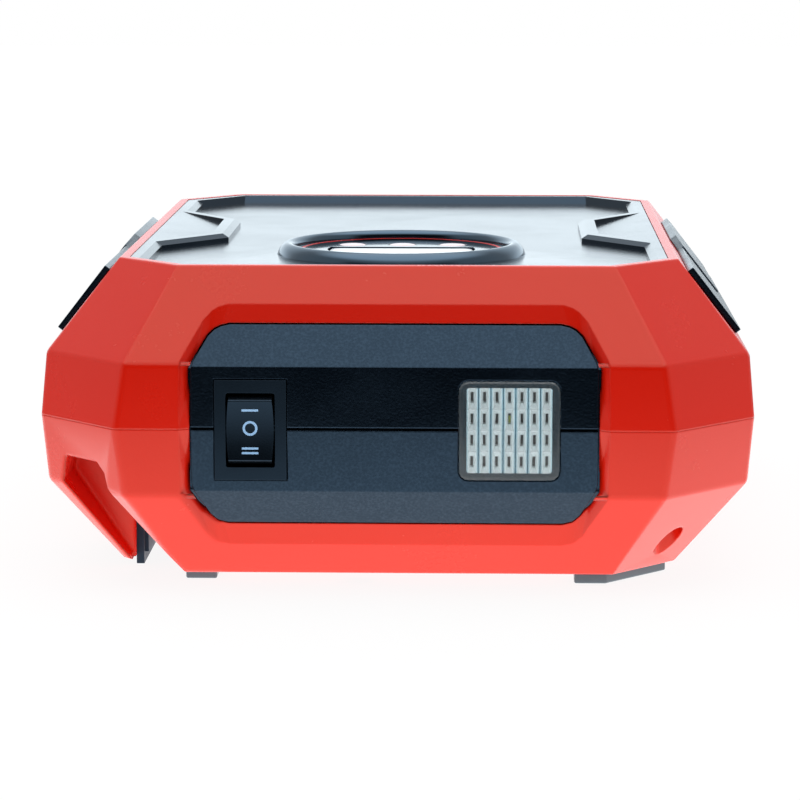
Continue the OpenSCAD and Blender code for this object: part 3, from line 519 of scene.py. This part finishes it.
# The parts inside keep their own meshes and take a finish each.
KEPT = {
    "accent_ring": "accent_red", "button_board": "board_green", "button_switch": "steel",
    "indicator_leds": "lens_white", "switch_terminals": "brass", "lamp_leds": "led_dark",
    "lamp_board": "board_green", "lamp_holder": "tray_black", "socket_contact_positive": "brass",
    "socket_contact_negative": "brass", "socket_cover_pin": "steel", "port_cover_pin": "steel",
    "usb_sockets": "steel", "charge_socket": "trim_black", "port_board": "board_green",
    "battery_cells": "cell_foil", "battery_tray": "tray_black", "battery_strap": "rubber_black",
    "main_board": "board_green", "board_screws": "steel", "heat_sink": "sink_aluminium",
    "power_switches": "chip_black", "capacitors": "capacitor_sleeve", "positive_bar": "brass",
    "negative_bar": "brass", "positive_lead": "lead_red", "negative_lead": "lead_black",
}
for node, material in KEPT.items():
    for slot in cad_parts[node].material_slots:
        slot.material = FINISHES[material]


# ---------------------------------------------------------------- round panel
def ring_piece():
    """Raised ring: a flared foot, an outward chamfer and a round crest, turned about the panel's axis."""
    profile = chaikin([(28.0, 66.72), (27.7, 66.95), (27.45, 67.05), (27.35, 67.6), (26.9, 68.6),
                       (26.2, 69.35), (25.6, 69.7), (25.1, 69.8), (24.5, 69.72), (24.0, 69.45),
                       (23.65, 69.0), (23.5, 68.4), (23.5, 66.72)], 2)
    rings = turned(profile, (0, RING_Y), 160)
    points, faces = stack(np.concatenate([rings, rings[:1]]), False)
    return piece("ring_finished", points, faces, "trim_black", "trim_black", "pack", "ring_bezel",
                 angle=50)


def lens_pieces():
    """Three domed lights, each a shallow crown over a straight barrel and a narrower light pipe."""
    crown = [(0.0, 68.32), (1.0, 68.31), (2.0, 68.25), (2.6, 68.16), (2.95, 68.02), (3.1, 67.8)]
    profile = np.array(crown + [(3.1, 66.75), (2.2, 66.75), (2.2, 64.0), (0.0, 64.0)])
    profile[0, 0] = profile[-1, 0] = 0.0001
    parts = [stack(turned(profile, (x, RING_Y + LIGHT_BEHIND), 40))
             for x in (-LIGHT_SPACING, 0.0, LIGHT_SPACING)]
    points, faces = joined(parts)
    return piece("lenses_finished", points, faces, "lens_white", "lens_white", "pack", "indicator_lenses")


def button_piece():
    """Half-moon button: its outline shrinks inwards as the crown rises, over a hidden flange."""
    lift = math.asin(BUTTON_CUT / BUTTON_R)
    a = np.linspace(math.pi - lift, 2 * math.pi + lift, 60)
    arc = np.stack([BUTTON_R * np.cos(a), RING_Y + BUTTON_R * np.sin(a)], axis=1)
    along = np.linspace(arc[-1, 0], arc[0, 0], 14)[1:-1]
    line = np.stack([along, np.full(len(along), RING_Y + BUTTON_CUT)], axis=1)
    outline = chaikin(np.vstack([arc, line]), 2, closed=True)
    middle = np.array([0.0, RING_Y - 6.0])
    levels = [(0.02, 68.12), (0.35, 68.10), (0.65, 68.05), (0.85, 67.97), (0.94, 67.88), (0.985, 67.74),
              (1.0, 67.5), (1.0, 66.6), (1.07, 66.6), (1.07, 65.42), (0.12, 65.42), (0.12, 64.72),
              (0.02, 64.72)]
    rings = [np.column_stack([middle + (outline - middle) * s, np.full(len(outline), z)])
             for s, z in levels]
    points, faces = stack(rings)
    return piece("start_button_finished", points, faces, "button_white", "button_white", "start_button",
                 "start_button")


# ---------------------------------------------------------------- rocker switch
def rocker_face(z):
    """Place of the hollow face in Y: it comes forward with the square of the height off its middle."""
    return -97.3 - 0.4 * (z / ROCKER_END) ** 2


def rocker_piece():
    """Rocker: a side profile with a hollow face, carried across a width that narrows to both ends.

    The width falls with the square of the height above the middle. One pin runs right through.
    """
    z = np.linspace(-ROCKER_HALF, ROCKER_HALF, 41)
    face = np.stack([rocker_face(z), z], axis=1)
    a = np.linspace(math.radians(124.5), math.radians(90), 9)[1:]
    top = np.stack([PIVOT_Y + ROCKER_TIP * np.cos(a), ROCKER_TIP * np.sin(a)], axis=1)
    back = np.array([[2.0, 6.2], [2.9, 4.0], [2.9, -4.0], [2.0, -6.2]]) + [PIVOT_Y, 0]
    loop = chaikin(np.vstack([face, top, back, top[::-1] * [1, -1]]), 2, True)
    half = 4.92 - 0.42 * np.clip(np.abs(loop[:, 1]) / ROCKER_END, 0, 1) ** 2
    middle = np.array([PIVOT_Y, 0.0])
    rings = []
    for side, inset in [(-1, EDGE_R), (-1, 0.12), (-1, 0.0), (-0.5, 0.0),
                        (0.5, 0.0), (1, 0.0), (1, 0.12), (1, EDGE_R)]:
        away = loop - middle
        shrunk = middle + away * (1 - inset / np.linalg.norm(away, axis=1))[:, None]
        rounded = half - EDGE_R + math.sqrt(EDGE_R ** 2 - inset ** 2)
        x = ROCKER_X + np.sign(side) * (rounded if abs(side) == 1 else half * abs(side))
        rings.append(np.column_stack([x, shrunk[:, 0], FRONT_Z + shrunk[:, 1]]))
    body = stack(rings)
    b = np.linspace(0, 2 * math.pi, 32, endpoint=False)
    pin = [np.column_stack([np.full(len(b), ROCKER_X + x), PIVOT_Y + r * np.cos(b),
                            FRONT_Z + r * np.sin(b)])
           for x, r in [(-6.1, 0.85), (-5.95, 1.0), (5.95, 1.0), (6.1, 0.85)]]
    points, faces = joined([body, stack(pin)])
    return piece("rocker_finished", points, faces, "switch_black", "switch_black", "rocker", "rocker")


def mark_pieces():
    """Painted signs: strips and a circle pressed onto the hollow face, a hair proud of it."""
    parts = []

    def slab(x, z):
        """Skin of a thin plate over the grid points x, z, following the hollow face."""
        front = np.stack([ROCKER_X + x, rocker_face(z) - SIGN_PROUD, FRONT_Z + z], axis=-1)
        back = front + [0, 2 * SIGN_PROUD, 0]
        return front, back

    for width, top, bottom in [(3.45, 4.51, 4.05), (3.42, -3.51, -3.95), (3.42, -4.47, -4.91)]:
        x = np.linspace(-width / 2, width / 2, 8)
        loop_x = np.concatenate([x, x[::-1]])
        loop_z = np.concatenate([np.full(len(x), bottom), np.full(len(x), top)])
        front, back = slab(loop_x, loop_z)
        parts.append(stack([front, back]))
    a = np.linspace(0, 2 * math.pi, 48, endpoint=False)
    rings = []
    for radius, k in [(1.55, 0), (1.06, 0), (1.06, 1), (1.55, 1), (1.55, 0)]:
        rings.append(slab(radius * np.cos(a), 0.48 + radius * np.sin(a))[k])
    parts.append(stack(rings, False))
    points, faces = joined(parts)
    return piece("switch_marks", points, faces, "mark_paint", "lens_white", "rocker")


# ---------------------------------------------------------------- lamp
def rounded_rectangle(width, height, radius, corner=10):
    """Outline of a centred rectangle: a quarter circle in each corner, joined by straight sides."""
    a = np.linspace(0, math.pi / 2, corner)
    quarter = []
    for k, (side, end) in enumerate([(1, 1), (-1, 1), (-1, -1), (1, -1)]):
        turn = a + k * math.pi / 2
        quarter.append(np.stack([side * (width / 2 - radius) + radius * np.cos(turn),
                                 end * (height / 2 - radius) + radius * np.sin(turn)], axis=1))
    return np.vstack(quarter)


def lamp_ring(width, height, radius, y):
    """Round-cornered outline about the lamp's middle, at the depth y."""
    outline = rounded_rectangle(width, height, radius)
    return np.column_stack([LAMP_X + outline[:, 0], np.full(len(outline), y), FRONT_Z + outline[:, 1]])


def lamp_pieces():
    """Clear cover as a slab with a rounded front edge, and the seal frame behind its border."""
    rings = [lamp_ring(19.9, 19.7, 1.6, -97.05), lamp_ring(20.4, 20.2, 1.85, -96.98),
             lamp_ring(20.8, 20.6, 2.0, -96.75), lamp_ring(21.0, 20.8, 2.1, -96.4),
             lamp_ring(21.0, 20.8, 2.1, -95.62)]
    points, faces = stack(rings)
    piece("lamp_cover_finished", points, faces, "lamp_clear", "lamp_clear", "pack", "lamp_cover", angle=50)
    frame_rings = [lamp_ring(20.9, 20.7, 2.1, -95.58), lamp_ring(18.0, 17.9, 0.9, -95.58),
                   lamp_ring(18.0, 17.9, 0.9, -95.3), lamp_ring(20.9, 20.7, 2.1, -95.3),
                   lamp_ring(20.9, 20.7, 2.1, -95.58)]
    points, faces = stack(frame_rings, False)
    piece("lamp_seal", points, faces, "seal_grey", "trim_black", "pack")


def reflector_piece():
    """28 funnels: each cell runs from a groove at its sides over a shoulder to a slot and its floor.

    Every cell repeats one set of points: the groove's bottom, its lip, the shoulder, the slot's mouth and
    the slot's floor, each a rectangle of four corners at one depth.
    """
    w, h = CELL
    shoulder, mouth, floor = 0.22, 1.3, 2.6
    slot = (0.57, 2.25)
    i, k = np.meshgrid(np.arange(CELLS[0]), np.arange(CELLS[1]), indexing="ij")
    across = LAMP_X + (i.ravel() - (CELLS[0] - 1) / 2) * w
    up = FRONT_Z + (k.ravel() - (CELLS[1] - 1) / 2) * h
    centre = np.stack([across, up], axis=1)
    sign = np.array([[-1, -1], [1, -1], [1, 1], [-1, 1]])
    tall = h - (h - slot[1]) * shoulder / mouth
    sizes = np.array([[w, h, 0.3], [w - 0.24, h, 0], [1.36, tall, shoulder], [*slot, mouth],
                      [*slot, floor]])
    half = sign[None, :, :] * sizes[:, None, :2] / 2
    flat = centre[:, None, None, :] + half[None]
    depth = np.broadcast_to(REFLECTOR_Y + sizes[None, :, 2, None], flat.shape[:3])
    points = np.stack([flat[..., 0], depth, flat[..., 1]], axis=-1).reshape(-1, 3)
    one = np.array([[0, 4, 7, 3], [1, 2, 6, 5]] + strip_faces(4, 4, 4) + [[16, 17, 18, 19]])
    per_cell = 4 * len(sizes)
    faces = one[None] + (np.arange(len(centre)) * per_cell)[:, None, None]
    mesh = meshed("reflector_finished", points, faces.reshape(-1, 4).tolist())
    made = placed("reflector_finished", mesh)
    work = bmesh.new()
    work.from_mesh(mesh)
    bmesh.ops.remove_doubles(work, verts=work.verts, dist=1e-7)
    rim = [e for e in work.edges if e.is_boundary]
    grown = bmesh.ops.extrude_edge_only(work, edges=rim)["geom"]
    moved = [g for g in grown if isinstance(g, bmesh.types.BMVert)]
    bmesh.ops.translate(work, verts=moved, vec=(0, REFLECTOR_DEEP * MM, 0))
    bmesh.ops.contextual_create(work, geom=[g for g in grown if isinstance(g, bmesh.types.BMEdge)])
    bmesh.ops.recalc_face_normals(work, faces=work.faces)
    work.to_mesh(mesh)
    work.free()
    return dress(made, "reflector_chrome", "pack", ("lamp_reflector",), 12.0)


ring_piece()
lens_pieces()
button_piece()
rocker_piece()
mark_pieces()
lamp_pieces()
reflector_piece()


# ---------------------------------------------------------------- floor, light and camera
def white_floor():
    """Pale floor that keeps the pack's soft shadow; its own glow is strongest round the middle."""
    mesh = bpy.data.meshes.new("floor")
    mesh.from_pydata([(-2.0, -0.6, 0), (2.0, -0.6, 0), (2.0, 2.5, 0), (-2.0, 2.5, 0)], [],
                     [(0, 1, 2, 3)])
    floor = placed("floor", mesh)
    made = bpy.data.materials.new("Floor white")
    made.use_nodes = True
    tree = made.node_tree
    shade = tree.nodes["Principled BSDF"]
    shade.inputs["Roughness"].default_value = 0.9
    shade.inputs["Specular IOR Level"].default_value = 0.0
    shade.inputs["Base Color"].default_value = (0.08, 0.08, 0.08, 1)
    path = add(tree, "ShaderNodeLightPath")
    place = add(tree, "ShaderNodeTexCoord").outputs["Object"]
    away = add(tree, "ShaderNodeVectorMath", {0: place}, operation="LENGTH").outputs["Value"]
    near = ramp(tree, away, 0.13, 0.26, 0.75, 0.0)
    glow = sums(tree, "ADD", ramp(tree, away, 0.20, 0.40, 1.05, 0.15), near)
    seen = add(tree, "ShaderNodeMix", {0: path.outputs["Is Camera Ray"], 2: glow, 3: 0.91}).outputs[0]
    shade.inputs["Emission Color"].default_value = (1, 1, 1, 1)
    tree.links.new(seen, shade.inputs["Emission Strength"])
    mesh.materials.append(made)


def studio_world():
    """Plain studio: bright overhead and behind, softer at the sides, a dark screen low in front.

    It is white wherever the camera or a clear part looks through to it.
    """
    world = bpy.data.worlds.new("Studio")
    bpy.context.scene.world = world
    world.use_nodes = True
    tree = world.node_tree
    tree.nodes.clear()
    way = add(tree, "ShaderNodeTexCoord").outputs["Generated"]
    parts = add(tree, "ShaderNodeSeparateXYZ", {0: way})
    top = ramp(tree, parts.outputs["Z"], 0.64, 0.92, 0.58, 2.3)
    behind = ramp(tree, parts.outputs["Y"], 0.45, 0.85)
    back = sums(tree, "MULTIPLY", behind, ramp(tree, parts.outputs["Z"], 0.0, 0.35, 1.4, 0.7))
    across = add(tree, "ShaderNodeVectorMath", {0: way, 1: (1.0, 1.0, 0.0)},
                 operation="MULTIPLY").outputs[0]
    level_way = add(tree, "ShaderNodeVectorMath", {0: across}, operation="NORMALIZE").outputs[0]
    ahead = add(tree, "ShaderNodeVectorMath", {0: level_way, 1: (0.0, -1.0, 0.0)},
                operation="DOT_PRODUCT").outputs["Value"]
    wide = ramp(tree, ahead, 0.40, 0.72)
    low = sums(tree, "MULTIPLY", ramp(tree, parts.outputs["Z"], -0.60, -0.40),
               ramp(tree, parts.outputs["Z"], 0.48, 0.66, 1.0, 0.0))
    screen = sums(tree, "MULTIPLY", wide, low)
    level = sums(tree, "MULTIPLY", sums(tree, "ADD", top, back), sums(tree, "SUBTRACT", 1.0, screen))
    path = add(tree, "ShaderNodeLightPath")
    seen = sums(tree, "MAXIMUM", path.outputs["Is Camera Ray"], path.outputs["Is Transmission Ray"])
    strength = add(tree, "ShaderNodeMix", {0: seen, 2: level, 3: 1.0}).outputs[0]
    cool = mixed(tree, sums(tree, "MULTIPLY", behind, sums(tree, "SUBTRACT", 1.0, seen)),
                 (1.0, 1.0, 1.0, 1.0), (0.84, 0.94, 1.0, 1.0))
    light = add(tree, "ShaderNodeBackground", {"Color": cool, "Strength": strength})
    end = add(tree, "ShaderNodeOutputWorld")
    tree.links.new(light.outputs[0], end.inputs[0])


def camera():
    """Camera in front and above the pack's top, looking down and a little to the left."""
    data = bpy.data.cameras.new("camera")
    data.sensor_width = 36.0
    data.lens = 144.0
    data.clip_start, data.clip_end = 0.01, 50.0
    made = placed("camera", data)
    made.location = (0.0205, -0.7513, 0.1441)
    made.rotation_euler = (math.radians(90 - 8.845), 0.0, math.radians(1.687))
    bpy.context.scene.camera = made


white_floor()
studio_world()
camera()
bpy.context.scene.view_settings.view_transform = "Standard"
